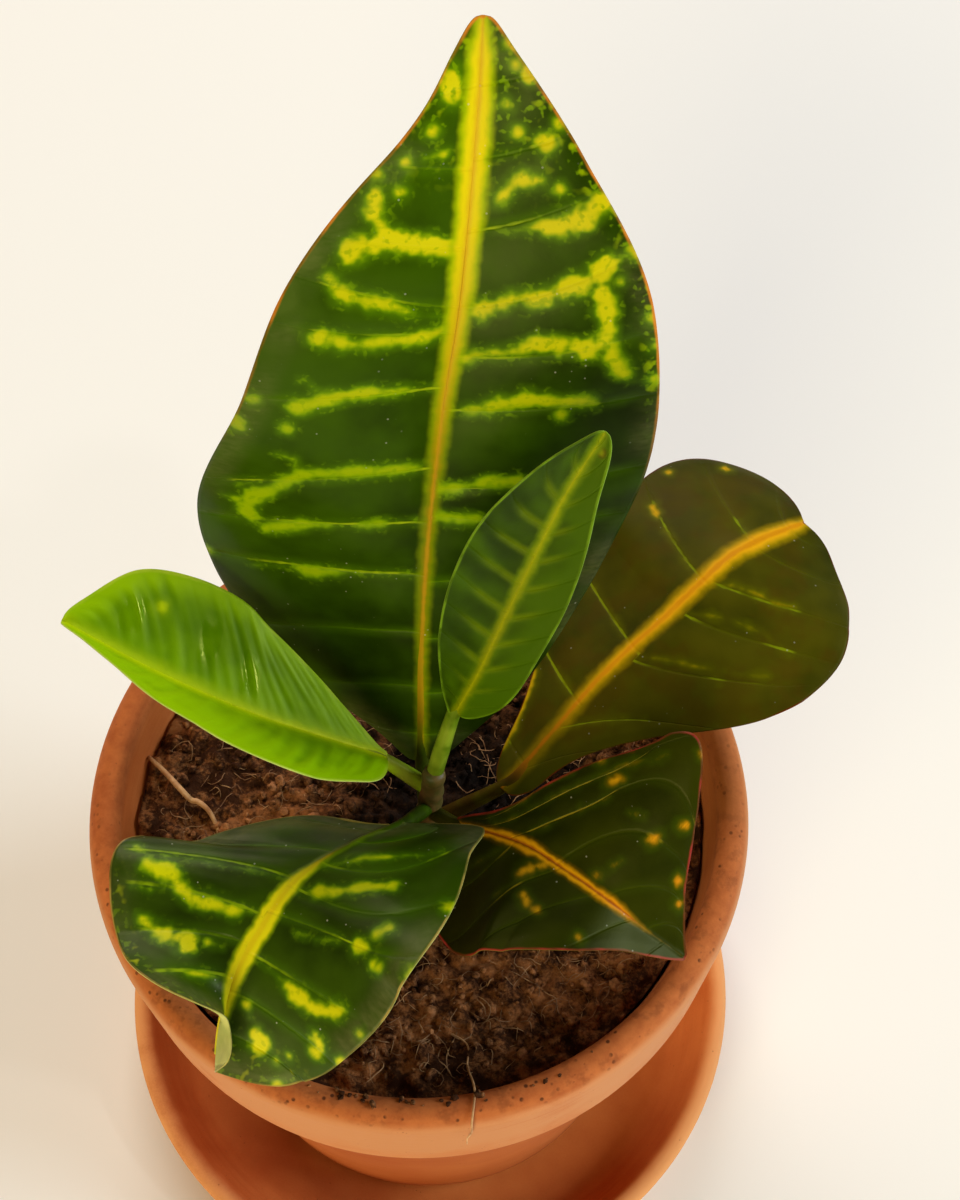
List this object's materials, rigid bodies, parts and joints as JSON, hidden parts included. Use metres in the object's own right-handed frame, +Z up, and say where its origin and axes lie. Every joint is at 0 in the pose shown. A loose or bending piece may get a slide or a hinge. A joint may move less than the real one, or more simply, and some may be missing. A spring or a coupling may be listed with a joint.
{
  "type": "potted croton",
  "caption": "Young croton with large variegated leaves on a short stem, growing in soil in a round terracotta pot with a collar, standing in a matching saucer.",
  "frame": {"origin": "centre of the saucer's flat underside", "axes": "+Z up along the pot's axis, -Y towards the viewer of the picture, +X to that viewer's right"},
  "size_m": [0.146, 0.132, 0.2463],
  "materials": {
    "terracotta_saucer": "unglazed fired clay, matt, warm orange brown",
    "terracotta_pot": "unglazed fired clay, matt, with faint soil marks on the rim",
    "potting_soil": "loose moist peat with pale fibres",
    "stem_bark": "smooth green young stem",
    "leaf_dark": "leathery, softly glossy dark green with yellow midrib, veins and blotches and a thin red margin",
    "leaf_dark_low": "leathery, softly glossy dark green with yellow midrib and blotches",
    "leaf_dark_red": "leathery dark green with orange midrib, red flecks and a pink red margin",
    "leaf_olive": "leathery, olive green with orange yellow midrib and a dark red margin",
    "leaf_young": "soft, glossy mid green with a pale green midrib",
    "leaf_young_bright": "soft, glossy yellow green with a yellow midrib"
  },
  "bodies": {
    "root": {"saucer": "terracotta_saucer", "terracotta_pot": "terracotta_pot", "soil": "potting_soil", "stem": "stem_bark", "leaf_upright": "leaf_dark", "leaf_low_left": "leaf_dark_low", "leaf_low_right": "leaf_dark_red", "leaf_right": "leaf_olive", "leaf_young_upright": "leaf_young", "leaf_young_left": "leaf_young_bright"}
  },
  "joints": []
}
